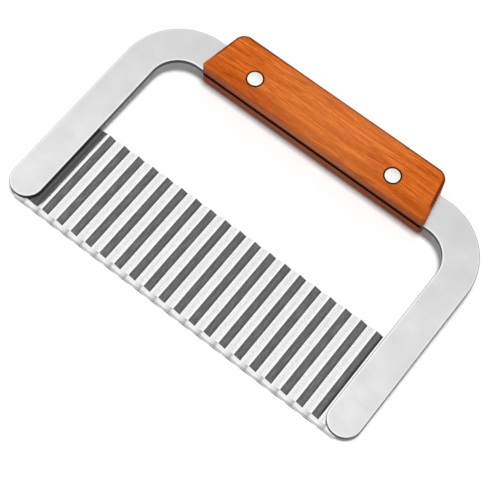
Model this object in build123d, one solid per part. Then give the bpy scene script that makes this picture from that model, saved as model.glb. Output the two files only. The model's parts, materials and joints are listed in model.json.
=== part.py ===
from build123d import *
import os
from math import asin, atan2, cos, degrees, hypot, radians, sin, tan

# Hand cutter for soap: a corrugated blade across the legs of a flat steel bow,
# with a riveted wooden handle on the bridge. All lengths are in millimetres.
#
# While it is built, X runs along the blade, Y from the cutting edge to the handle
# and Z out of the front. The back of the bow's plate is at Z = 0 and the cutting
# edge is at Y = 0. At the end the cutter is laid on its back, as it rests on a table:
# on the cutting edge and on the lower edge of the handle.

# Corrugated blade
wave_pitch = 8.0
crest_count = 19
wave_rise = 1.4
bend_radius = 1.2
sheet_thickness = 0.8
blade_height = 47.6
ground_width = 2.5
edge_land = 0.12
tab_reach = 9.4
tab_corner_radius = 2.0

# Spot welds that hold the tabs
weld_diameter = 4.0
weld_dent = 0.12
weld_height_shares = (0.18, 0.5, 0.82)

# Bow
plate_thickness = 2.5
leg_width = 15.7
leg_gap = 0.9
leg_setback = 0.9
hand_gap = 49.8
bridge_width = 16.6
outer_corner_radius = 30.0
inner_corner_radius = 14.0
plate_edge_chamfer = 0.4

# Handle, one block of wood with a saw slot that goes over the bridge
handle_length = 120.8
handle_wall = 6.25
handle_overhang = 7.5
handle_end_slope = 10.7
handle_top_radius = 5.5
handle_bottom_radius = 1.6
handle_face_radius = 1.5
slot_side_clearance = 0.05
slot_end_gap = 0.5
bridge_setback = 0.6

# Handle rivets, each a solid post pressed into a hollow sleeve
rivet_spacing = 74.5
rivet_head_diameter = 7.0
rivet_head_thickness = 1.5
rivet_head_chamfer = 0.25
rivet_head_stand = 0.2
rivet_head_sink = 0.1
counterbore_clearance = 0.5
post_diameter = 3.2
sleeve_wall = 0.8
sleeve_clearance = 0.15
press_clearance = 0.01
rivet_end_gap = 0.4
rivet_tip_chamfer = 0.3

# Places that follow from the sizes
wave_half_length = crest_count * wave_pitch / 2
leg_inner_x = wave_half_length + leg_gap
leg_outer_x = leg_inner_x + leg_width
leg_end_y = leg_setback + leg_width / 2
bridge_bottom_y = blade_height + hand_gap
bridge_top_y = bridge_bottom_y + bridge_width
bridge_middle_y = bridge_bottom_y + bridge_width / 2
tab_end_x = leg_inner_x + tab_reach
sheet_middle_z = -sheet_thickness / 2
sheet_back_z = -sheet_thickness
handle_bottom_y = bridge_bottom_y - bridge_setback
handle_height = bridge_setback + bridge_width + handle_overhang
front_face_z = plate_thickness + handle_wall
rear_face_z = -handle_wall
counterbore_radius = rivet_head_diameter / 2 + counterbore_clearance
sleeve_radius = post_diameter / 2 + press_clearance + sleeve_wall
rivet_hole_radius = sleeve_radius + sleeve_clearance
front_seat_z = front_face_z + rivet_head_stand - rivet_head_thickness
rear_seat_z = rear_face_z - rivet_head_sink + rivet_head_thickness
rivet_places = {"left": -rivet_spacing / 2, "right": rivet_spacing / 2}


def bow():
    """The stamped plate: a bridge and two legs with round ends."""
    top = Line((0, bridge_top_y), (leg_outer_x - outer_corner_radius, bridge_top_y))
    shoulder = TangentArc(
        top @ 1, (leg_outer_x, bridge_top_y - outer_corner_radius), tangent=(1, 0)
    )
    outside = Line(shoulder @ 1, (leg_outer_x, leg_end_y))
    leg_end = TangentArc(outside @ 1, (leg_inner_x, leg_end_y), tangent=(0, -1))
    inside = Line(leg_end @ 1, (leg_inner_x, bridge_bottom_y - inner_corner_radius))
    armpit = TangentArc(
        inside @ 1, (leg_inner_x - inner_corner_radius, bridge_bottom_y), tangent=(0, 1)
    )
    underside = Line(armpit @ 1, (0, bridge_bottom_y))
    half = Wire([top, shoulder, outside, leg_end, inside, armpit, underside])
    outline = make_face([*half.edges(), *half.mirror(Plane.YZ).edges()])
    for x in rivet_places.values():
        outline -= Pos(x, bridge_middle_y) * Circle(rivet_hole_radius)
    plate = extrude(outline, amount=plate_thickness)
    rims = [face.outer_wire().edges() for face in plate.faces().filter_by(Axis.Z)]
    return chamfer([edge for rim in rims for edge in rim], length=plate_edge_chamfer)


def wave_slope():
    """Angle in radians between the flanks of the corrugation and the sheet's plane."""
    rise = 2 * bend_radius - wave_rise
    run = wave_pitch / 2
    return asin(2 * bend_radius / hypot(run, rise)) - atan2(rise, run)


def bend_places():
    """Centres of the sheet's bends, left to right: X, Z and +1 over a crest or -1 under a valley."""
    slope = wave_slope()
    crest_z = sheet_middle_z + wave_rise / 2 - bend_radius
    valley_z = sheet_middle_z - wave_rise / 2 + bend_radius
    tab_z = sheet_middle_z - bend_radius
    tab_run = (2 * bend_radius - (valley_z - tab_z) * cos(slope)) / sin(slope)
    wave = [(-wave_half_length, valley_z, -1)]
    for count in range(crest_count):
        crest_x = -wave_half_length + (count + 1 / 2) * wave_pitch
        wave.append((crest_x, crest_z, 1))
        wave.append((crest_x + wave_pitch / 2, valley_z, -1))
    tab_bend_x = wave_half_length + tab_run
    return [(-tab_bend_x, tab_z, 1), *wave, (tab_bend_x, tab_z, 1)]


def sheet_line(offset):
    """One side of the corrugated sheet in the XZ plane, at an offset from its middle."""
    slope = wave_slope()
    height = sheet_middle_z + offset
    edges = []
    start = (-tab_end_x, height)
    bends = bend_places()
    for x, z, side in bends:
        radius = bend_radius + side * offset
        turns = [-slope, 0, slope]
        if (x, z, side) == bends[0]:
            turns = [0, slope / 2, slope]
        if (x, z, side) == bends[-1]:
            turns = [-slope, -slope / 2, 0]
        bend = [(x + radius * sin(turn), z + side * radius * cos(turn)) for turn in turns]
        edges.append(Line(start, bend[0]))
        edges.append(ThreePointArc(*bend))
        start = bend[-1]
    edges.append(Line(start, (tab_end_x, height)))
    return edges


def sheet_section(front_offset):
    """The sheet's cross-section, with its front side at an offset from its middle."""
    front = sheet_line(front_offset)
    back = sheet_line(-sheet_thickness / 2)
    left = Line(back[0] @ 0, front[0] @ 0)
    right = Line(front[-1] @ 1, back[-1] @ 1)
    return make_face([*front, right, *back, left])


def upright(section, y):
    """Stands a cross-section up in the XZ plane at a distance from the cutting edge."""
    return Plane(origin=(0, y, 0), x_dir=(1, 0, 0), z_dir=(0, -1, 0)) * section


def blade():
    """The corrugated sheet, ground to a cutting edge along its front, with flat welded tabs."""
    full = sheet_section(sheet_thickness / 2)
    thin = sheet_section(edge_land - sheet_thickness / 2)
    sheet = extrude(upright(full, blade_height), amount=blade_height - ground_width)
    ground = loft([upright(full, ground_width), upright(thin, 0)], ruled=True)
    trim = Pos(0, blade_height / 2, sheet_middle_z - wave_rise) * extrude(
        RectangleRounded(2 * tab_end_x, blade_height, tab_corner_radius),
        amount=2 * wave_rise + sheet_thickness,
    )
    strip = (sheet + ground) & trim
    ball_radius = (weld_diameter**2 / 4 + weld_dent**2) / (2 * weld_dent)
    ball_z = sheet_back_z + weld_dent - ball_radius
    tab_bend_x = bend_places()[-1][0]
    for side in (-1, 1):
        for share in weld_height_shares:
            weld = Pos(side * (tab_bend_x + tab_end_x) / 2, share * blade_height, ball_z)
            strip -= weld * Sphere(ball_radius)
    return strip


def handle_block():
    """The block of wood, with its rounded edges and the saw slot for the bridge."""
    half_bottom = handle_length / 2
    half_top = half_bottom - handle_height * tan(radians(handle_end_slope))
    top_y = handle_bottom_y + handle_height
    corners = [
        (-half_bottom, handle_bottom_y),
        (half_bottom, handle_bottom_y),
        (half_top, top_y),
        (-half_top, top_y),
    ]
    outline = make_face(Polyline(*corners, close=True))
    outline = fillet(outline.vertices().group_by(Axis.Y)[-1], radius=handle_top_radius)
    outline = fillet(outline.vertices().group_by(Axis.Y)[0], radius=handle_bottom_radius)
    block = Pos(0, 0, rear_face_z) * extrude(outline, amount=front_face_z - rear_face_z)
    rims = [face.outer_wire().edges() for face in block.faces().filter_by(Axis.Z)]
    block = fillet([edge for rim in rims for edge in rim], radius=handle_face_radius)
    slot_top_y = bridge_top_y + slot_end_gap
    slot_width = plate_thickness + 2 * slot_side_clearance
    slot = Box(handle_length, 2 * (slot_top_y - handle_bottom_y), slot_width)
    return block - Pos(0, handle_bottom_y, plate_thickness / 2) * slot


def handle():
    """The block of wood with the holes for the rivets and the counterbores for their heads."""
    block = handle_block()
    for x in rivet_places.values():
        for seat_z, face_z in ((front_seat_z, front_face_z), (rear_seat_z, rear_face_z)):
            centre = Pos(x, bridge_middle_y, face_z)
            block -= centre * Cylinder(counterbore_radius, 2 * abs(face_z - seat_z))
        centre = Pos(x, bridge_middle_y, plate_thickness / 2)
        block -= centre * Cylinder(rivet_hole_radius, front_face_z - rear_face_z)
    return block


def head_points(outward):
    """Half the outline of a rivet head that is seated at Z = 0, from its axis to its underside."""
    radius = rivet_head_diameter / 2
    top_z = outward * rivet_head_thickness
    rim_z = outward * (rivet_head_thickness - rivet_head_chamfer)
    return [(0, top_z), (radius - rivet_head_chamfer, top_z), (radius, rim_z), (radius, 0)]


def turned(outline, x, seat_z):
    """Turns half an outline round the rivet's axis at its place in the handle."""
    half = make_face(Polyline(*outline, close=True))
    return Pos(x, bridge_middle_y, seat_z) * revolve(Plane.XZ * half, Axis.Z)


def rivet_post(x):
    """The solid half of a rivet, headed on the front."""
    shank = post_diameter / 2
    tip_z = rear_seat_z - front_seat_z + rivet_end_gap
    stem = [
        (shank, 0),
        (shank, tip_z + rivet_tip_chamfer),
        (shank - rivet_tip_chamfer, tip_z),
        (0, tip_z),
    ]
    return turned(head_points(1) + stem, x, front_seat_z)


def rivet_sleeve(x):
    """The hollow half of a rivet, headed on the back."""
    bore = post_diameter / 2 + press_clearance
    mouth_z = front_seat_z - rear_seat_z - rivet_end_gap
    tube = [
        (sleeve_radius, 0),
        (sleeve_radius, mouth_z - rivet_tip_chamfer),
        (sleeve_radius - rivet_tip_chamfer, mouth_z),
        (bore, mouth_z),
        (bore, 0),
        (0, 0),
    ]
    return turned(head_points(-1) + tube, x, rear_seat_z)


def lying(pieces):
    """Lays the cutter on its back, with the middle of its footprint at the origin."""
    edge_z = sheet_middle_z - wave_rise / 2 - sheet_thickness / 2
    foot_y = handle_bottom_y + handle_face_radius
    foot_z = rear_face_z + handle_face_radius
    drop = atan2(edge_z - foot_z, foot_y)
    tilt = drop + asin(handle_face_radius / hypot(foot_y, edge_z - foot_z))
    turned_pieces = {name: Rot(degrees(tilt), 0, 0) * piece for name, piece in pieces.items()}
    box = Compound(list(turned_pieces.values())).bounding_box()
    home = Pos(-box.center().X, -box.center().Y, -box.min.Z)
    return {name: home * piece for name, piece in turned_pieces.items()}


def cutter():
    """All the pieces, by the names of their files."""
    pieces = {
        "bow": bow(),
        "blade": blade(),
        "handle": handle(),
    }
    for side, x in rivet_places.items():
        pieces[side + "_rivet_post"] = rivet_post(x)
        pieces[side + "_rivet_sleeve"] = rivet_sleeve(x)
    return lying(pieces)


os.makedirs("parts", exist_ok=True)
for name, piece in cutter().items():
    piece.label = name
    export_step(piece, "parts/" + name + ".step")
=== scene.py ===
import json
from math import asin, atan2, cos, hypot, pi, radians, sin, tan

import bmesh
import bpy
from mathutils import Matrix, Vector


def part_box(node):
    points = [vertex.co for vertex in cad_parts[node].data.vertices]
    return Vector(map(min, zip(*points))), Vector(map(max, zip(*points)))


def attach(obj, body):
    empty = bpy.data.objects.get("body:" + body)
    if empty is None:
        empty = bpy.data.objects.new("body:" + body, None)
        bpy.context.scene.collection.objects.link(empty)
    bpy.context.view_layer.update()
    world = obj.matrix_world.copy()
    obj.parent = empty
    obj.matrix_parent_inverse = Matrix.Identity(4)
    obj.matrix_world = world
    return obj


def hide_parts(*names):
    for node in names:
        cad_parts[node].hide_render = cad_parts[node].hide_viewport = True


# The looks of a soap cutter: a corrugated steel blade between the legs of a flat steel bow,
# with a riveted wooden handle. Sizes are in millimetres until a piece is laid in its place.
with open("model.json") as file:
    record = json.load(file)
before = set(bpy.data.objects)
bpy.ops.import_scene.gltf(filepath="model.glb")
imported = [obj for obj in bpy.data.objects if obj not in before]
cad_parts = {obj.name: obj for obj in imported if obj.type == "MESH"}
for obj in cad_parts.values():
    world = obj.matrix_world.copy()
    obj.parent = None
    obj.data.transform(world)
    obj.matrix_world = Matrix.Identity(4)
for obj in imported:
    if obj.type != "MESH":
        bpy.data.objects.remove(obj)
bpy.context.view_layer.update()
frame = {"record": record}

mm = 0.001

# Corrugated blade
wave_pitch = 8.0
crest_count = 19
wave_rise = 1.4
bend_radius = 1.2
sheet_thickness = 0.8
blade_height = 47.6
ground_width = 2.5
edge_land = 0.12
tab_reach = 9.4
tab_corner_radius = 2.0
weld_diameter = 4.0
weld_dent = 0.12
weld_height_shares = (0.18, 0.5, 0.82)

# Bow
plate_thickness = 2.5
leg_width = 15.7
leg_gap = 0.9
leg_setback = 0.9
hand_gap = 49.8
bridge_width = 16.6
outer_corner_radius = 30.0
inner_corner_radius = 14.0
plate_edge_radius = 0.4
# Width of the band beside the plate's edges that gets a painted highlight
highlight_band = 0.7

# Handle
handle_length = 120.8
handle_wall = 6.25
handle_overhang = 7.5
handle_end_slope = 10.7
handle_top_radius = 5.5
handle_bottom_radius = 1.6
handle_face_radius = 1.5
slot_side_clearance = 0.05
slot_end_gap = 0.5
bridge_setback = 0.6

# Rivets
rivet_spacing = 74.5
rivet_head_diameter = 7.0
rivet_head_thickness = 1.5
rivet_head_radius = 0.25
rivet_head_stand = 0.2
rivet_head_sink = 0.1
counterbore_clearance = 0.5
post_diameter = 3.2
sleeve_wall = 0.8
sleeve_clearance = 0.15
press_clearance = 0.01
rivet_end_gap = 0.4

# Places that follow from the sizes
wave_half_length = crest_count * wave_pitch / 2
leg_inner_x = wave_half_length + leg_gap
leg_outer_x = leg_inner_x + leg_width
leg_middle_x = leg_inner_x + leg_width / 2
leg_end_y = leg_setback + leg_width / 2
bridge_bottom_y = blade_height + hand_gap
bridge_top_y = bridge_bottom_y + bridge_width
slot_top_y = bridge_top_y + slot_end_gap
bridge_middle_y = bridge_bottom_y + bridge_width / 2
tab_end_x = leg_inner_x + tab_reach
weld_x = (wave_half_length + wave_pitch / 4 + tab_end_x) / 2
handle_bottom_y = bridge_bottom_y - bridge_setback
handle_height = bridge_setback + bridge_width + handle_overhang
front_face_z = plate_thickness + handle_wall
rear_face_z = -handle_wall
counterbore_radius = rivet_head_diameter / 2 + counterbore_clearance
sleeve_radius = post_diameter / 2 + press_clearance + sleeve_wall
rivet_hole_radius = sleeve_radius + sleeve_clearance
rivet_places = [side * rivet_spacing / 2 for side in (-1, 1)]
front_seat_z = front_face_z + rivet_head_stand - rivet_head_thickness
rear_seat_z = rear_face_z - rivet_head_sink + rivet_head_thickness

# A plate stores a rim value: 1 on its sides, this where the rounding of an edge starts,
# and 0 on a face inside the band of its painted edge highlight, or this again where it has no such band
rim_start = 0.25


def resting_place():
    """Where the cutter's own frame lies in the row's: X along the blade, Y up it and Z out of its front."""
    lean = asin(frame["record"]["mounts"][0]["axis"][1])
    low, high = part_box("blade")
    valley_back_z = -sheet_thickness - wave_rise / 2
    edge_front_z = -sheet_thickness + wave_rise / 2 + edge_land
    origin = Vector((0, low.y + sin(lean) * edge_front_z * mm, low.z - cos(lean) * valley_back_z * mm))
    return Matrix.Translation(origin) @ Matrix.Rotation(lean, 4, "X") @ Matrix.Scale(mm, 4)


laid = resting_place()


# Helpers for node trees

class Nodes:
    """A node tree that is filled line by line."""

    def __init__(self, tree):
        self.tree = tree

    def add(self, kind, inputs=None, **settings):
        """A new node with its inputs plugged in or set."""
        node = self.tree.nodes.new(kind)
        for name, value in settings.items():
            setattr(node, name, value)
        for key, value in (inputs or {}).items():
            self.plug(value, node.inputs[key])
        return node

    def plug(self, value, socket):
        """Links a node's output to a socket, or sets the socket to a plain value."""
        if isinstance(value, bpy.types.Node):
            value = value.outputs[0]
        if isinstance(value, bpy.types.NodeSocket):
            self.tree.links.new(value, socket)
        else:
            socket.default_value = value

    def math(self, operation, *values):
        """What an operation makes of numbers."""
        return self.add("ShaderNodeMath", dict(enumerate(values)), operation=operation).outputs[0]

    def product(self, first, *others):
        """Numbers multiplied together."""
        for other in others:
            first = self.math("MULTIPLY", first, other)
        return first

    def split(self, vector):
        """The X, Y and Z of a vector."""
        parts = self.add("ShaderNodeSeparateXYZ", {0: vector}).outputs
        return parts["X"], parts["Y"], parts["Z"]

    def stored(self, name):
        """A number that is stored on the mesh."""
        return self.add("ShaderNodeAttribute", attribute_name=name).outputs["Fac"]

    def rise(self, value, start, end):
        """How far a value has come from start to end, from 0 to 1."""
        inputs = {"Value": value, "From Min": start, "From Max": end}
        return self.add("ShaderNodeMapRange", inputs).outputs[0]

    def from_to(self, share, first, second):
        """A number that goes from the first to the second with a share."""
        return self.math("MULTIPLY_ADD", share, second - first, first)

    def ramp(self, value, stops):
        """A number or colour that changes with a value, through stops of a value and what it gives."""
        node = self.add("ShaderNodeValToRGB", {0: value})
        points = node.color_ramp.elements
        while len(points) < len(stops):
            points.new(1)
        for point, (place, colour) in zip(points, stops):
            point.position = place
            point.color = (*colour, 1) if isinstance(colour, tuple) else (colour, colour, colour, 1)
        return node.outputs[0]

    def blend(self, share, first, second, mode="MIX"):
        """A colour that goes from the first to the second with a share."""
        node = self.add("ShaderNodeMix", data_type="RGBA", blend_type=mode)
        for value, place in ((share, 0), (first, 6), (second, 7)):
            self.plug((*value, 1) if isinstance(value, tuple) else value, node.inputs[place])
        return node.outputs[2]

    def coat(self, under, mask, colour, strength=1.0):
        """A colour with another one laid over it where a mask says so."""
        return self.blend(self.product(mask, strength), under, colour)


def node_group(name, kind, inputs, outputs):
    """A new node group with named sockets: its Nodes, its input node and its output node."""
    tree = bpy.data.node_groups.new(name, kind)
    for label, socket, value in inputs:
        item = tree.interface.new_socket(label, in_out="INPUT", socket_type=socket)
        if value is not None:
            item.default_value = value
    for label, socket in outputs:
        tree.interface.new_socket(label, in_out="OUTPUT", socket_type=socket)
    nodes = Nodes(tree)
    return nodes, nodes.add("NodeGroupInput"), nodes.add("NodeGroupOutput")


def finish_place(nodes):
    """Places in the cutter's own frame, in millimetres, with Y up from the cutting edge."""
    place = nodes.add("ShaderNodeTexCoord").outputs["Object"]
    back = laid.inverted()
    return nodes.add("ShaderNodeMapping", {
        "Vector": place,
        "Location": back.to_translation(),
        "Rotation": back.to_euler(),
        "Scale": back.to_scale(),
    }).outputs[0]


def new_material(name, metallic):
    """A material with a Principled BSDF: its Nodes and that node."""
    material = bpy.data.materials.new(name)
    material.use_nodes = True
    nodes = Nodes(material.node_tree)
    surface = material.node_tree.nodes["Principled BSDF"]
    surface.inputs["Metallic"].default_value = metallic
    return material, nodes, surface


# Shared effects of the finishes

def stretched_noise_group():
    """Noise drawn out along one direction, as brushing on steel and fibres in wood are."""
    nodes, given, result = node_group(
        "Stretched noise", "ShaderNodeTree",
        [
            ("Vector", "NodeSocketVector", None),
            ("Stretch", "NodeSocketVector", (1.0, 1.0, 1.0)),
            ("Detail", "NodeSocketFloat", 3.0),
            ("Low", "NodeSocketFloat", 0.35),
            ("High", "NodeSocketFloat", 0.65),
        ],
        [("Value", "NodeSocketFloat")],
    )
    scaled = nodes.add("ShaderNodeVectorMath", {0: given.outputs["Vector"], 1: given.outputs["Stretch"]},
                       operation="MULTIPLY")
    noise = nodes.add("ShaderNodeTexNoise", {
        "Vector": scaled, "Scale": 1.0, "Detail": given.outputs["Detail"],
    })
    spread = nodes.add("ShaderNodeMapRange", {
        "Value": noise.outputs["Fac"], "From Min": given.outputs["Low"], "From Max": given.outputs["High"],
    })
    nodes.plug(spread, result.inputs["Value"])
    return nodes.tree


stretched_noise = stretched_noise_group()


def drawn_noise(nodes, vector, stretch, low=0.3, high=0.7, detail=3.0):
    """The stretched noise's value, for how fast it changes along each axis and between which levels."""
    inputs = {"Vector": vector, "Stretch": stretch, "Detail": detail, "Low": low, "High": high}
    return nodes.add("ShaderNodeGroup", inputs, node_tree=stretched_noise).outputs["Value"]


def relief(nodes, surface, height, strength, depth):
    """Gives a surface fine relief, with its depth in millimetres."""
    bump = nodes.add("ShaderNodeBump", {"Strength": strength, "Distance": depth * mm, "Height": height})
    nodes.plug(bump, surface.inputs["Normal"])


# Finishes

def plate_steel():
    """Satin stainless plate, brushed along the cutter, with a painted highlight beside its edges and
    painted shade on its sides.
    """
    material, nodes, surface = new_material("satin_plate_steel", 1.0)
    place = finish_place(nodes)
    y = nodes.split(place)[1]
    rim = nodes.stored("rim")
    brushing = drawn_noise(nodes, place, (0.05, 2.6, 0.3))
    clouds = drawn_noise(nodes, place, (0.09, 0.09, 0.09))
    # Painted highlight: the band beside the edges is made much lighter
    edge_highlight = nodes.rise(rim, 0.0, rim_start)
    # Painted shade: the rounding and the sides of the plate are darkened near black
    side = nodes.ramp(rim, [(0.28, 0.0), (0.45, 0.35), (0.6, 0.7), (0.75, 1.0)])

    # The plate is painted darker from the ends of its legs up to the bridge
    towards_bridge = nodes.rise(y, 0.1 * bridge_top_y, 0.9 * bridge_top_y)

    colour = nodes.blend(brushing, (0.72, 0.72, 0.725), (0.775, 0.775, 0.78))
    colour = nodes.coat(colour, clouds, (0.70, 0.70, 0.71), strength=0.45)
    colour = nodes.coat(colour, towards_bridge, (0.64, 0.64, 0.645), strength=0.5)
    colour = nodes.coat(colour, edge_highlight, (0.97, 0.97, 0.97), strength=0.85)
    colour = nodes.coat(colour, side, (0.06, 0.06, 0.062))
    nodes.plug(colour, surface.inputs["Base Color"])
    rough_face = nodes.from_to(clouds, 0.25, 0.33)
    nodes.plug(nodes.math("MULTIPLY_ADD", side, 0.2, rough_face), surface.inputs["Roughness"])
    relief(nodes, surface, brushing, strength=0.1, depth=0.02)
    return material


def blade_steel():
    """Bright corrugated sheet with fine orange peel and a ground edge, with painted reflections and shade
    along its bends and edge.
    """
    material, nodes, surface = new_material("bright_blade_steel", 1.0)
    place = finish_place(nodes)
    x = nodes.split(place)[0]
    ground = nodes.stored("ground")
    peel = drawn_noise(nodes, place, (1.6, 0.8, 1.6))
    brushing = drawn_noise(nodes, place, (1.1, 0.22, 1.1), 0.32, 0.68)
    speckle = drawn_noise(nodes, place, (1.7, 1.0, 1.7), 0.48, 0.72)

    # The place within one pitch: 0 and 1 on a crest, and 0.5 in a valley
    phase = nodes.math("FRACT", nodes.math("DIVIDE", x, wave_pitch))
    # Painted reflections: the colour is darkened in lines beside the bends, as their mirrored stripes
    bend_reflection_lines = nodes.ramp(phase, [
        (0.0, 1.0), (0.06, 0.95), (0.1, 0.7), (0.19, 0.95), (0.33, 0.92), (0.43, 0.6),
        (0.47, 1.0), (0.6, 1.0), (0.68, 0.92), (0.82, 0.92), (0.88, 1.0),
    ])
    # Painted shading of the ground bevel, lighter and darker along each pitch of the wave
    bevel_shading = nodes.ramp(phase, [
        (0.0, 0.6), (0.07, 0.88), (0.5, 0.92), (0.7, 0.78), (0.84, 0.66), (0.94, 0.48), (1.0, 0.6),
    ])
    bevel = nodes.rise(ground, 0.4, 0.5)
    # A dark line of painted shade along the cutting edge
    edge_line_shade = nodes.ramp(ground, [(0.8, 0.0), (0.88, 1.0), (0.95, 1.0), (1.0, 0.3)])

    # The last flank beside the left leg is painted dark and dull, as a painted reflection of the leg's dark
    # side
    reflection_width, reflection_fade = 2.8, 0.25
    in_corner = nodes.rise(x, reflection_width + reflection_fade - leg_inner_x, reflection_width - leg_inner_x)
    leg_reflection = nodes.product(in_corner, nodes.math("SUBTRACT", 1.0, bevel))

    colour = nodes.blend(brushing, (0.89, 0.89, 0.90), (0.99, 0.99, 0.99))
    colour = nodes.coat(colour, speckle, (0.70, 0.70, 0.71), strength=0.55)
    colour = nodes.blend(1.0, colour, bend_reflection_lines, "MULTIPLY")
    colour = nodes.coat(colour, bevel, bevel_shading)
    colour = nodes.coat(colour, edge_line_shade, (0.3, 0.3, 0.31), strength=0.6)
    colour = nodes.coat(colour, leg_reflection, (0.10, 0.10, 0.105))
    nodes.plug(colour, surface.inputs["Base Color"])
    nodes.plug(nodes.from_to(leg_reflection, 1.0, 0.15), surface.inputs["Metallic"])
    nodes.plug(nodes.from_to(brushing, 0.12, 0.21), surface.inputs["Roughness"])
    relief(nodes, surface, peel, strength=0.3, depth=0.02)
    return material


def handle_wood():
    """Reddish hardwood, its grain along the handle, paler in the middle, with painted shade on its round
    edges, round the rivets and along the saw slot.
    """
    material, nodes, surface = new_material("lacquered_hardwood", 0.0)
    place = finish_place(nodes)
    x, y, z = nodes.split(place)
    rim = nodes.stored("rim")
    height = nodes.rise(y, handle_bottom_y, handle_bottom_y + handle_height)

    # Grain: the fibres sway by up to 3 mm along the handle
    sway = nodes.add("ShaderNodeTexNoise", {"Vector": place, "Scale": 0.02, "Detail": 1.0})
    fibres = nodes.add("ShaderNodeVectorMath", {0: sway.outputs["Color"], 1: (0.0, 3.0, 3.0), 2: place},
                       operation="MULTIPLY_ADD")
    bands = drawn_noise(nodes, fibres, (0.018, 0.3, 0.3))
    streaks = drawn_noise(nodes, fibres, (0.06, 1.0, 1.0))
    flecks = drawn_noise(nodes, fibres, (0.3, 2.4, 2.4), 0.42, 0.68, detail=4.0)
    pores = drawn_noise(nodes, fibres, (0.5, 4.5, 4.5), 0.6, 0.72, detail=2.0)
    growth = drawn_noise(nodes, fibres, (0.009, 0.3, 0.3), detail=2.0)
    ring_lines = (
        (0.12, 0.16, 0.21, 0.8), (0.3, 0.34, 0.4, 1.0), (0.48, 0.53, 0.59, 1.0),
        (0.68, 0.72, 0.77, 1.0), (0.85, 0.89, 0.94, 0.8),
    )
    rings = nodes.ramp(growth, [
        stop for start, middle, end, depth in ring_lines
        for stop in ((start, 0.0), (middle, depth), (end, 0.0))
    ])

    # Painted shade on the rounded edges and behind the slot; the wood is also darker towards its lower edge
    # and paler in the middle
    on_edge = nodes.ramp(rim, [(0.25, 0.0), (0.42, 1.0), (0.85, 1.0), (0.95, 0.2)])
    edge = nodes.product(on_edge, nodes.rise(height, 0.2, 0.35))
    low = nodes.ramp(height, [(0.0, 0.22), (0.03, 0.28), (0.1, 0.45), (0.3, 0.0)])
    from_middle = nodes.math("ABSOLUTE", x)
    along_half = nodes.rise(from_middle, 0.0, handle_length / 2)
    paler_middle = nodes.ramp(along_half, [(0.0, 0.16), (0.25, 0.14), (0.75, 0.0)])
    # Painted shade on the lower sides of the rear half, behind the slot, where it lies near the floor
    shade_behind_slot = nodes.product(
        nodes.rise(z, 0.0, -0.8), nodes.rise(rim, 0.3, 0.8), nodes.rise(height, 0.3, 0.08),
    )

    # Painted shade in the rims of the counterbores and along the saw slot, which is closed at the top
    from_rivet = nodes.add("ShaderNodeCombineXYZ", {
        "X": nodes.math("SUBTRACT", from_middle, rivet_spacing / 2),
        "Y": nodes.math("SUBTRACT", y, bridge_middle_y),
    })
    from_rivet = nodes.add("ShaderNodeVectorMath", {0: from_rivet}, operation="LENGTH").outputs["Value"]
    bore_shade = nodes.rise(from_rivet, counterbore_radius + 0.35, counterbore_radius - 0.05)
    slot_half, shade_reach = plate_thickness / 2, 0.28
    from_plate = nodes.math("ABSOLUTE", nodes.math("SUBTRACT", z, slot_half))
    slot_shade = nodes.rise(from_plate, slot_half + 2 * shade_reach, slot_half + shade_reach)
    slot_shade = nodes.product(slot_shade, nodes.math("LESS_THAN", y, slot_top_y))

    colour = nodes.ramp(bands, [
        (0.0, (0.42, 0.060, 0.003)), (0.4, (0.62, 0.125, 0.010)), (1.0, (0.84, 0.22, 0.035)),
    ])
    for mask, over, strength in (
        (streaks, (0.40, 0.050, 0.003), 0.42),
        (flecks, (0.90, 0.25, 0.045), 0.45),
        (pores, (0.22, 0.025, 0.002), 0.6),
        (rings, (0.24, 0.028, 0.002), 0.65),
        (edge, (0.10, 0.018, 0.002), 0.85),
        (low, (0.32, 0.045, 0.003), 1.0),
        (paler_middle, (0.98, 0.37, 0.13), 1.0),
        (bore_shade, (0.03, 0.006, 0.002), 1.0),
        (shade_behind_slot, (0.12, 0.025, 0.006), 0.55),
        (slot_shade, (0.11, 0.013, 0.004), 1.0),
    ):
        colour = nodes.coat(colour, mask, over, strength)
    nodes.plug(colour, surface.inputs["Base Color"])
    nodes.plug(nodes.from_to(streaks, 0.45, 0.55), surface.inputs["Roughness"])
    nodes.plug(nodes.from_to(edge, 0.08, 0.0), surface.inputs["Specular IOR Level"])
    relief(nodes, surface, flecks, strength=0.3, depth=0.04)
    return material


def rivet_metal():
    """Polished aluminium with faint scuffs."""
    material, nodes, surface = new_material("polished_rivet", 1.0)
    scuffs = drawn_noise(nodes, finish_place(nodes), (0.6, 0.6, 0.6))
    colour = nodes.blend(scuffs, (0.88, 0.88, 0.865), (0.97, 0.97, 0.955))
    nodes.plug(colour, surface.inputs["Base Color"])
    nodes.plug(nodes.from_to(scuffs, 0.2, 0.3), surface.inputs["Roughness"])
    return material


# Outlines: each point is a place and the direction that leads straight out of the piece

def arc(centre, radius, start, end, steps=24, hollow=False):
    """An arc between two angles in degrees. On a hollow one the piece lies outside the arc."""
    side = -1 if hollow else 1
    turns = [radians(start + (end - start) * step / steps) for step in range(steps + 1)]
    ways = [Vector((cos(turn), sin(turn))) for turn in turns]
    return [(Vector(centre) + radius * way, side * way) for way in ways]


def circle(centre, radius, sides):
    """A whole circle, as a closed loop of points."""
    return arc(centre, radius, 0, 360, sides)[:-1]


def mirrored(outline):
    """The same outline on the cutter's left side, in the order that carries on the loop."""
    flip = Vector((-1, 1))
    return [(place * flip, way * flip) for place, way in reversed(outline)]


def bow_outline():
    """The plate's outline, clockwise from the top of the right shoulder."""
    shoulder_centre = (leg_outer_x - outer_corner_radius, bridge_top_y - outer_corner_radius)
    armpit_centre = (leg_inner_x - inner_corner_radius, bridge_bottom_y - inner_corner_radius)
    shoulder = arc(shoulder_centre, outer_corner_radius, 90, 0, steps=48)
    leg_end = arc((leg_middle_x, leg_end_y), leg_width / 2, 0, -180, steps=48)
    armpit = arc(armpit_centre, inner_corner_radius, 0, 90, steps=32, hollow=True)
    right = shoulder + leg_end + armpit
    return right + mirrored(right)


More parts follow.
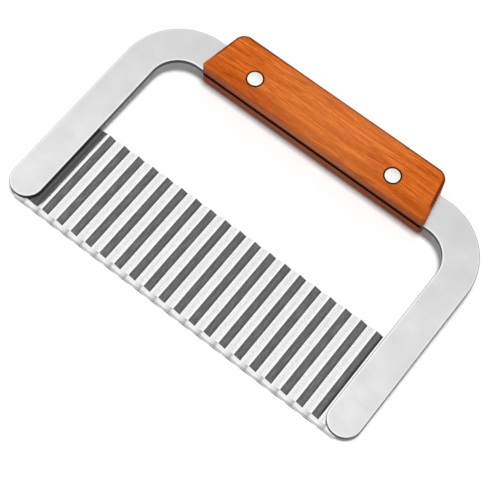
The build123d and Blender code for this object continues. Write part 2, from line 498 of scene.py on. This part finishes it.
def handle_outline():
    """The block's outline, clockwise from the top right corner."""
    slope = radians(handle_end_slope)
    half_bottom = handle_length / 2
    top_y = handle_bottom_y + handle_height
    half_top = half_bottom - handle_height * tan(slope)
    top_corner_x = half_top - handle_top_radius * (1 - sin(slope)) / cos(slope)
    bottom_corner_x = half_bottom - handle_bottom_radius * (1 + sin(slope)) / cos(slope)
    top = arc((top_corner_x, top_y - handle_top_radius), handle_top_radius, 90, handle_end_slope)
    bottom_corner = (bottom_corner_x, handle_bottom_y + handle_bottom_radius)
    bottom = arc(bottom_corner, handle_bottom_radius, handle_end_slope, -90)
    right = top + bottom
    return right + mirrored(right)


# Meshes

def plain_mesh(shape, name):
    """Ends the building of a shape and gives its mesh."""
    mesh = bpy.data.meshes.new(name)
    shape.to_mesh(mesh)
    shape.free()
    return mesh


def line_mesh(points, closed=False):
    """A mesh of one run of edges through points, with one more edge back to its start if it is closed."""
    count = len(points)
    edges = [(at, (at + 1) % count) for at in range(count if closed else count - 1)]
    mesh = bpy.data.meshes.new("line")
    mesh.from_pydata([(x, y, 0) for x, y in points], edges, [])
    return mesh


def in_scene(name, data):
    """A new object in the scene."""
    item = bpy.data.objects.new(name, data)
    bpy.context.scene.collection.objects.link(item)
    return item


def ring(shape, outline, inset, height):
    """One loop of vertices on an outline that is drawn in by an inset, at a height."""
    return [shape.verts.new((*(place - inset * way), height)) for place, way in outline]


def skin(shape, rings):
    """The strips of faces between loops of vertices."""
    for low, high in zip(rings, rings[1:]):
        for here in range(len(low)):
            after = (here + 1) % len(low)
            shape.faces.new((low[here], low[after], high[after], high[here]))


def loop_edges(shape, verts):
    """The edges of a closed loop of vertices."""
    return [shape.edges.get((verts[here - 1], verts[here])) for here in range(len(verts))]


def rounded_rings(shape, outline, low, high, radius, band, steps=6):
    """The loops of a plate from its back round the side to its front, each with its rim value."""
    back = [(radius + band, low, 0.0)] if band else []
    for step in range(steps + 1):
        share = step / steps
        turn = pi / 2 * share
        rim = rim_start + (1 - rim_start) * share
        back.append((radius * (1 - sin(turn)), low + radius * (1 - cos(turn)), rim))
    front = [(inset, low + high - height, rim) for inset, height, rim in reversed(back)]
    return [(ring(shape, outline, inset, height), rim) for inset, height, rim in back + front]


def plate(name, outline, holes, low, high, radius, band=0):
    """A flat plate with rounded edges and round holes, with its rim values stored on it."""
    shape = bmesh.new()
    rim_layer = shape.verts.layers.float.new("rim")
    rings = rounded_rings(shape, outline, low, high, radius, band)
    skin(shape, [verts for verts, rim in rings])
    for verts, rim in rings:
        for vert in verts:
            vert[rim_layer] = rim
    back_loops, front_loops = [rings[0][0]], [rings[-1][0]]
    for centre, hole_radius in holes:
        hole = circle(centre, hole_radius, sides=64)
        walls = [ring(shape, hole, 0, low), ring(shape, hole, 0, high)]
        skin(shape, walls)
        back_loops.append(walls[0])
        front_loops.append(walls[1])
    for loops in (back_loops, front_loops):
        edges = [edge for verts in loops for edge in loop_edges(shape, verts)]
        bmesh.ops.triangle_fill(shape, edges=edges, use_beauty=True)
    bmesh.ops.recalc_face_normals(shape, faces=shape.faces)
    return plain_mesh(shape, name)


def piece(name, mesh, material, slot, *nodes, sharp_angle=30):
    """Lays a mesh in its place as a piece of the cutter that stands for CAD nodes."""
    mesh.transform(laid)
    shape = bmesh.new()
    shape.from_mesh(mesh)
    same_place = 0.001 * mm
    bmesh.ops.remove_doubles(shape, verts=shape.verts, dist=same_place)
    bmesh.ops.recalc_face_normals(shape, faces=shape.faces)
    shape.to_mesh(mesh)
    shape.free()
    mesh.materials.clear()
    mesh.materials.append(material)
    mesh.shade_smooth()
    mesh.set_sharp_from_angle(angle=radians(sharp_angle))
    item = in_scene(name, mesh)
    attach(item, "root")
    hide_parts(*nodes)


def frozen(carrier):
    """The plain mesh that an object has under its modifiers; the object itself is removed."""
    shape = carrier.evaluated_get(bpy.context.evaluated_depsgraph_get())
    mesh = bpy.data.meshes.new_from_object(shape)
    bpy.data.objects.remove(carrier)
    return mesh


def grown(name, mesh, tree, inputs):
    """What a geometry node tree makes of a mesh, with the tree's named inputs set."""
    carrier = in_scene(name, mesh)
    modifier = carrier.modifiers.new("tree", "NODES")
    modifier.node_group = tree
    for socket in tree.interface.items_tree:
        if socket.name in inputs:
            modifier[socket.identifier] = inputs[socket.name]
    return frozen(carrier)


def cut_away(name, mesh, cutters):
    """A mesh with other closed meshes cut out of it."""
    carrier = in_scene(name, mesh)
    tools = [in_scene("cutter", cutter) for cutter in cutters]
    for tool in tools:
        modifier = carrier.modifiers.new("cut", "BOOLEAN")
        modifier.operation = "DIFFERENCE"
        modifier.solver = "EXACT"
        modifier.object = tool
    bpy.context.view_layer.update()
    mesh = frozen(carrier)
    for tool in tools:
        bpy.data.objects.remove(tool)
    return mesh


# Pieces

def bow():
    """The plate, with the holes that the rivets go through."""
    holes = [((x, bridge_middle_y), rivet_hole_radius) for x in rivet_places]
    mesh = plate("bow", bow_outline(), holes, 0, plate_thickness, plate_edge_radius, highlight_band)
    piece("bow_plate", mesh, plate_steel(), "plate_steel", "bow")


def box_cutter(low, high):
    """A closed box between two corners, to cut a slot with."""
    shape = bmesh.new()
    bmesh.ops.create_cube(shape, size=1)
    middle = (Vector(low) + Vector(high)) / 2
    size = Vector(high) - Vector(low)
    for vert in shape.verts:
        vert.co = middle + vert.co * size
    return plain_mesh(shape, "slot")


def round_cutter(x, low, high, radius):
    """A closed round bar along a rivet's axis, to cut a hole with."""
    outline = circle((x, bridge_middle_y), radius, sides=96)
    shape = bmesh.new()
    rings = [ring(shape, outline, 0, low), ring(shape, outline, 0, high)]
    skin(shape, rings)
    for verts in rings:
        shape.faces.new(verts)
    bmesh.ops.recalc_face_normals(shape, faces=shape.faces)
    return plain_mesh(shape, "bore")


def handle():
    """The block of wood, with its saw slot, the rivet holes and the counterbores."""
    block = plate("block", handle_outline(), [], rear_face_z, front_face_z, handle_face_radius)
    overrun = handle_wall
    slot_low = (-handle_length, handle_bottom_y - overrun, -slot_side_clearance)
    slot_high = (handle_length, slot_top_y, plate_thickness + slot_side_clearance)
    cutters = [box_cutter(slot_low, slot_high)]
    for x in rivet_places:
        cutters += [
            round_cutter(x, front_seat_z, front_face_z + overrun, counterbore_radius),
            round_cutter(x, rear_face_z - overrun, rear_seat_z, counterbore_radius),
            round_cutter(x, rear_face_z, front_face_z, rivet_hole_radius),
        ]
    mesh = cut_away("handle", block, cutters)
    # The slot's corners are new, so they get the rim value of the sides that it was cut through
    for vert, rim in zip(mesh.vertices, mesh.attributes["rim"].data):
        if abs(vert.co.z - plate_thickness / 2) < plate_thickness:
            rim.value = 1.0
    piece("handle_block", mesh, handle_wood(), "handle_wood", "handle")


# Rivets

def turned_rivets_tree():
    """Turns half an outline round the rivet's axis and sets one such rivet at each end of the handle."""
    nodes, given, result = node_group(
        "Turned rivets", "GeometryNodeTree",
        [
            ("Half Outline", "NodeSocketGeometry", None),
            ("Segments", "NodeSocketInt", 96),
            ("Guide Radius", "NodeSocketFloat", 1.0),
            ("Spacing", "NodeSocketFloat", 1.0),
            ("Axis Y", "NodeSocketFloat", 0.0),
            ("Seat Z", "NodeSocketFloat", 0.0),
            ("Material", "NodeSocketMaterial", None),
        ],
        [("Rivets", "NodeSocketGeometry")],
    )
    radius = given.outputs["Guide Radius"]
    inward = nodes.add("ShaderNodeCombineXYZ", {"X": nodes.product(radius, -1.0)})
    outline = nodes.add("GeometryNodeSetPosition", {
        "Geometry": given.outputs["Half Outline"], "Offset": inward,
    })
    outline = nodes.add("GeometryNodeMeshToCurve", {"Mesh": outline})
    guide = nodes.add("GeometryNodeCurvePrimitiveCircle", {
        "Resolution": given.outputs["Segments"], "Radius": radius,
    })
    guide = nodes.add("GeometryNodeSetCurveNormal", {"Curve": guide.outputs["Curve"]}, mode="Z_UP")
    body = nodes.add("GeometryNodeCurveToMesh", {"Curve": guide, "Profile Curve": outline})
    body = nodes.add("GeometryNodeTransform", {"Geometry": body, "Rotation": (pi, 0.0, 0.0)})
    half = nodes.math("DIVIDE", given.outputs["Spacing"], 2.0)
    left, right = [
        nodes.add("ShaderNodeCombineXYZ", {
            "X": nodes.product(half, side), "Y": given.outputs["Axis Y"], "Z": given.outputs["Seat Z"],
        })
        for side in (-1.0, 1.0)
    ]
    line = nodes.add("GeometryNodeMeshLine", {"Count": 2, "Start Location": left, "Offset": right},
                     mode="END_POINTS")
    pair = nodes.add("GeometryNodeInstanceOnPoints", {"Points": line, "Instance": body})
    pair = nodes.add("GeometryNodeRealizeInstances", {"Geometry": pair})
    pair = nodes.add("GeometryNodeSetMaterial", {"Geometry": pair, "Material": given.outputs["Material"]})
    nodes.plug(pair, result.inputs["Rivets"])
    return nodes.tree


def rivet_head(outward):
    """Half the outline of a rivet head seated at height 0, from its axis over its slightly rounded rim."""
    radius = rivet_head_diameter / 2
    centre = (radius - rivet_head_radius, rivet_head_thickness - rivet_head_radius)
    rounding = [(x, outward * y) for (x, y), way in arc(centre, rivet_head_radius, 90, 0, steps=5)]
    return [(0, outward * rivet_head_thickness), *rounding, (radius, 0)]


def rivets(tree, name, outline, seat_z, material, *nodes):
    """Both copies of one half of the rivets."""
    mesh = grown(name, line_mesh(outline), tree, {
        "Segments": 96,
        "Guide Radius": 1.0,
        "Spacing": rivet_spacing,
        "Axis Y": bridge_middle_y,
        "Seat Z": seat_z,
        "Material": material,
    })
    piece(name, mesh, material, "rivet_metal", *nodes)


def handle_rivets():
    """The posts, headed on the front, and the hollow sleeves that they are pressed into."""
    tree = turned_rivets_tree()
    material = rivet_metal()
    shank = post_diameter / 2
    bore = shank + press_clearance
    length = front_seat_z - rear_seat_z - rivet_end_gap
    post = rivet_head(1) + [(shank, 0), (shank, -length), (0, -length)]
    wall = [(sleeve_radius, 0), (sleeve_radius, length), (bore, length), (bore, 0)]
    sleeve = rivet_head(-1) + wall + [(0, 0)]
    rivets(tree, "rivet_posts", post, front_seat_z, material, "left_rivet_post", "right_rivet_post")
    rivets(tree, "rivet_sleeves", sleeve, rear_seat_z, material, "left_rivet_sleeve", "right_rivet_sleeve")


# Blade

def wave_slope():
    """Angle in radians between the flanks of the corrugation and the sheet's plane."""
    rise = 2 * bend_radius - wave_rise
    run = wave_pitch / 2
    return asin(2 * bend_radius / hypot(run, rise)) - atan2(rise, run)


def corrugated_sheet_tree():
    """Sweeps the sheet's upright section along a row of round bends between two flat tabs."""
    nodes, given, result = node_group(
        "Corrugated sheet", "GeometryNodeTree",
        [
            ("Section", "NodeSocketGeometry", None),
            ("Pitch", "NodeSocketFloat", 8.0),
            ("Crests", "NodeSocketInt", 19),
            ("Corner Height", "NodeSocketFloat", 1.0),
            ("Bend Radius", "NodeSocketFloat", 1.0),
            ("Sample Length", "NodeSocketFloat", 0.1),
            ("Middle Z", "NodeSocketFloat", 0.0),
            ("Tab End X", "NodeSocketFloat", 86.0),
            ("Height", "NodeSocketFloat", 48.0),
            ("Corner Radius", "NodeSocketFloat", 2.0),
            ("Material", "NodeSocketMaterial", None),
        ],
        [("Sheet", "NodeSocketGeometry")],
    )
    # The path's corners before they are rounded: a zigzag between two flat runs
    crests = given.outputs["Crests"]
    half_pitch = nodes.math("DIVIDE", given.outputs["Pitch"], 2.0)
    index = nodes.add("GeometryNodeInputIndex").outputs[0]
    steps = nodes.math("SUBTRACT", nodes.math("ADD", crests, 2.0), index)
    raw_x = nodes.product(steps, half_pitch)
    limit = nodes.product(nodes.math("ADD", crests, 0.5), half_pitch)
    beyond = nodes.math("SUBTRACT", nodes.math("ABSOLUTE", raw_x), limit)
    is_wave = nodes.math("LESS_THAN", beyond, 0.0)
    is_end = nodes.math("GREATER_THAN", beyond, half_pitch)
    reach = nodes.math("MINIMUM", nodes.math("ABSOLUTE", raw_x), limit)
    tab = nodes.product(is_end, nodes.math("SUBTRACT", given.outputs["Tab End X"], limit))
    x = nodes.product(nodes.math("SIGN", raw_x), nodes.math("ADD", reach, tab))
    turn = nodes.math("MULTIPLY_ADD", nodes.math("MODULO", index, 2.0), 2.0, -1.0)
    corner = nodes.product(turn, is_wave, given.outputs["Corner Height"])
    y = nodes.math("ADD", corner, given.outputs["Middle Z"])
    count = nodes.math("MULTIPLY_ADD", crests, 2.0, 5.0)
    line = nodes.add("GeometryNodeMeshLine", {"Count": count})
    line = nodes.add("GeometryNodeSetPosition", {
        "Geometry": line, "Position": nodes.add("ShaderNodeCombineXYZ", {"X": x, "Y": y}),
    })

    # The sheet: the path with round bends, and the section swept along it
    path = nodes.add("GeometryNodeMeshToCurve", {"Mesh": line})
    path = nodes.add("GeometryNodeFilletCurve", {
        "Curve": path, "Count": 24, "Radius": given.outputs["Bend Radius"],
    }, mode="POLY")
    path = nodes.add("GeometryNodeResampleCurve", {
        "Curve": path, "Length": given.outputs["Sample Length"],
    }, mode="LENGTH")
    path = nodes.add("GeometryNodeSetCurveNormal", {"Curve": path}, mode="Z_UP")
    section = nodes.add("GeometryNodeMeshToCurve", {"Mesh": given.outputs["Section"]})
    sheet = nodes.add("GeometryNodeCurveToMesh", {
        "Curve": path, "Profile Curve": section, "Fill Caps": True,
    })
    sheet = nodes.add("GeometryNodeTransform", {"Geometry": sheet, "Rotation": (pi / 2, 0.0, 0.0)})

    # The tabs' round corners: near its ends the sheet is drawn in from its top and bottom
    place_x, place_y, place_z = nodes.split(nodes.add("GeometryNodeInputPosition"))
    radius = given.outputs["Corner Radius"]
    start = nodes.math("SUBTRACT", given.outputs["Tab End X"], radius)
    over = nodes.math("SUBTRACT", nodes.math("ABSOLUTE", place_x), start)
    over = nodes.math("MINIMUM", nodes.math("MAXIMUM", over, 0.0), radius)
    square = nodes.math("SUBTRACT", nodes.product(radius, radius), nodes.product(over, over))
    inset = nodes.math("SUBTRACT", radius, nodes.math("SQRT", nodes.math("MAXIMUM", square, 0.0)))
    top = nodes.math("SUBTRACT", given.outputs["Height"], inset)
    trimmed_y = nodes.math("MINIMUM", nodes.math("MAXIMUM", place_y, inset), top)
    sheet = nodes.add("GeometryNodeSetPosition", {
        "Geometry": sheet,
        "Position": nodes.add("ShaderNodeCombineXYZ", {"X": place_x, "Y": trimmed_y, "Z": place_z}),
    })
    sheet = nodes.add("GeometryNodeRealizeInstances", {"Geometry": sheet})
    sheet = nodes.add("GeometryNodeSetMaterial", {"Geometry": sheet, "Material": given.outputs["Material"]})
    nodes.plug(sheet, result.inputs["Sheet"])
    return nodes.tree


def sheet_section():
    """The sheet's upright section, ground to an edge along its front, with its ground value stored on it.

    The ground value is 1 at the cutting edge and 0.5 where the bevel ends, and fades out just above that.
    """
    back, front = -sheet_thickness / 2, sheet_thickness / 2
    fade = edge_land / 4
    cutting_edge, bevel_end = (back + edge_land, 0), (front, ground_width)
    points = [
        (back, 0), cutting_edge, bevel_end, (front, ground_width + fade),
        (front, blade_height), (back, blade_height),
    ]
    mesh = line_mesh(points, closed=True)
    ground = mesh.attributes.new("ground", "FLOAT", "POINT")
    ground.data[points.index(cutting_edge)].value = 1.0
    ground.data[points.index(bevel_end)].value = 0.5
    return mesh


def weld_dent_cutter(x, y, steps=8, sides=64):
    """The round end of an electrode, which presses a spot weld's shallow dent into the back of a tab."""
    half = weld_diameter / 2
    ball_radius = (half ** 2 + weld_dent ** 2) / (2 * weld_dent)
    overrun = 1.3
    widest = overrun * asin(half / ball_radius)
    tip_z = weld_dent - sheet_thickness
    shape = bmesh.new()
    rings = []
    for step in range(1, steps + 1):
        turn = widest * step / steps
        outline = circle((x, y), ball_radius * sin(turn), sides)
        rings.append(ring(shape, outline, 0, tip_z - ball_radius * (1 - cos(turn))))
    rings.append(ring(shape, outline, 0, tip_z - half))
    tip = shape.verts.new((x, y, tip_z))
    for here in range(sides):
        shape.faces.new((tip, rings[0][here - 1], rings[0][here]))
    skin(shape, rings)
    shape.faces.new(rings[-1])
    bmesh.ops.recalc_face_normals(shape, faces=shape.faces)
    return plain_mesh(shape, "weld")


def blade():
    """The corrugated sheet, with the dents of the spot welds on the backs of its tabs."""
    material = blade_steel()
    sheet = grown("sheet", sheet_section(), corrugated_sheet_tree(), {
        "Pitch": wave_pitch,
        "Crests": crest_count,
        "Corner Height": wave_pitch / 4 * tan(wave_slope()),
        "Bend Radius": bend_radius,
        "Sample Length": 0.1,
        "Middle Z": -sheet_thickness / 2,
        "Tab End X": tab_end_x,
        "Height": blade_height,
        "Corner Radius": tab_corner_radius,
        "Material": material,
    })
    dents = [
        weld_dent_cutter(side * weld_x, share * blade_height)
        for side in (-1, 1) for share in weld_height_shares
    ]
    mesh = cut_away("blade", sheet, dents)
    piece("corrugated_blade", mesh, material, "blade_steel", "blade", sharp_angle=6)


# Studio

def floor():
    """A pale floor that reads as white round the object's soft shadow."""
    shape = bmesh.new()
    bmesh.ops.create_grid(shape, x_segments=1, y_segments=1, size=2)
    mesh = plain_mesh(shape, "floor")
    in_scene("floor", mesh)
    material = bpy.data.materials.new("pale_floor")
    material.use_nodes = True
    material.node_tree.nodes.clear()
    nodes = Nodes(material.node_tree)
    rays = nodes.add("ShaderNodeLightPath").outputs
    seen = nodes.math("MAXIMUM", rays["Is Camera Ray"], rays["Is Glossy Ray"])
    seen = nodes.math("MAXIMUM", seen, rays["Is Transmission Ray"])
    cover = nodes.add("ShaderNodeBsdfDiffuse", {"Color": (0.92, 0.92, 0.92, 1)})
    lift = nodes.add("ShaderNodeEmission", {"Strength": nodes.product(seen, 0.03)})
    both = nodes.add("ShaderNodeAddShader", {0: cover, 1: lift})
    output = nodes.add("ShaderNodeOutputMaterial")
    nodes.plug(both, output.inputs["Surface"])
    mesh.materials.append(material)


def studio_world():
    """The light of a white room, and what polished steel mirrors of it.

    The mirrored room has a dark gap overhead, which makes the dark flanks of the blade, dim far and near
    walls, a very slightly dim left wall, and a soft box overhead towards the left.
    """
    world = bpy.data.worlds.new("studio")
    bpy.context.scene.world = world
    world.use_nodes = True
    nodes = Nodes(world.node_tree)
    background = world.node_tree.nodes["Background"]
    rays = nodes.add("ShaderNodeLightPath").outputs
    way = nodes.add("ShaderNodeTexCoord").outputs["Generated"]

    def towards(direction, stops):
        """A value that changes with the cosine of the angle between a ray and a direction."""
        near = nodes.add("ShaderNodeVectorMath", {0: way, 1: Vector(direction).normalized()},
                         operation="DOT_PRODUCT").outputs["Value"]
        return nodes.ramp(near, stops)

    mirrored = nodes.product(
        towards((0.475, 0.28, 0.83), [(0.918, 1.0), (0.978, 0.15)]),
        towards((-0.2, 0.9, 0.3), [(0.61, 1.0), (0.7, 0.8), (0.93, 0.3)]),
        towards((-0.72, 0.33, 0.61), [(0.86, 1.0), (0.97, 0.97)]),
        towards((0.2, -0.9, 0.3), [(0.7, 1.0), (0.92, 0.4)]),
    )
    soft_box = towards((-0.22, 0.33, 0.92), [(0.92, 0.0), (0.98, 0.2)])
    mirrored = nodes.math("ADD", mirrored, soft_box)
    light = nodes.blend(rays["Is Glossy Ray"], (0.26, 0.26, 0.26), mirrored)
    light = nodes.blend(rays["Is Camera Ray"], light, (1.0, 1.0, 1.0))
    nodes.plug(light, background.inputs["Color"])


def lamp():
    """One soft key light from almost straight overhead, as from a large bank of lamps far above."""
    light = bpy.data.lights.new("key", "SUN")
    light.angle = radians(16)
    light.energy = 2.62
    item = in_scene("key", light)
    item.rotation_euler = Vector((0.0, 0.05, 1.0)).to_track_quat("Z", "Y").to_euler()
    item.visible_glossy = False


def camera():
    """The photograph's view, fitted to the bow's edges."""
    data = bpy.data.cameras.new("camera")
    data.lens = 102.03
    data.sensor_width = 36
    azimuth, elevation, roll = radians(29.856), radians(65.256), radians(-8.828)
    aim = Vector((0.009724, -0.018814, 0.00715))
    distance = 0.59545
    back = Vector((sin(azimuth) * cos(elevation), -cos(azimuth) * cos(elevation), sin(elevation)))
    turn = back.to_track_quat("Z", "Y").to_matrix() @ Matrix.Rotation(-roll, 3, "Z")
    item = in_scene("camera", data)
    item.matrix_world = Matrix.Translation(aim + back * distance) @ turn.to_4x4()
    bpy.context.scene.camera = item


bow()
blade()
handle()
handle_rivets()
floor()
studio_world()
lamp()
camera()
bpy.context.scene.view_settings.view_transform = "Standard"
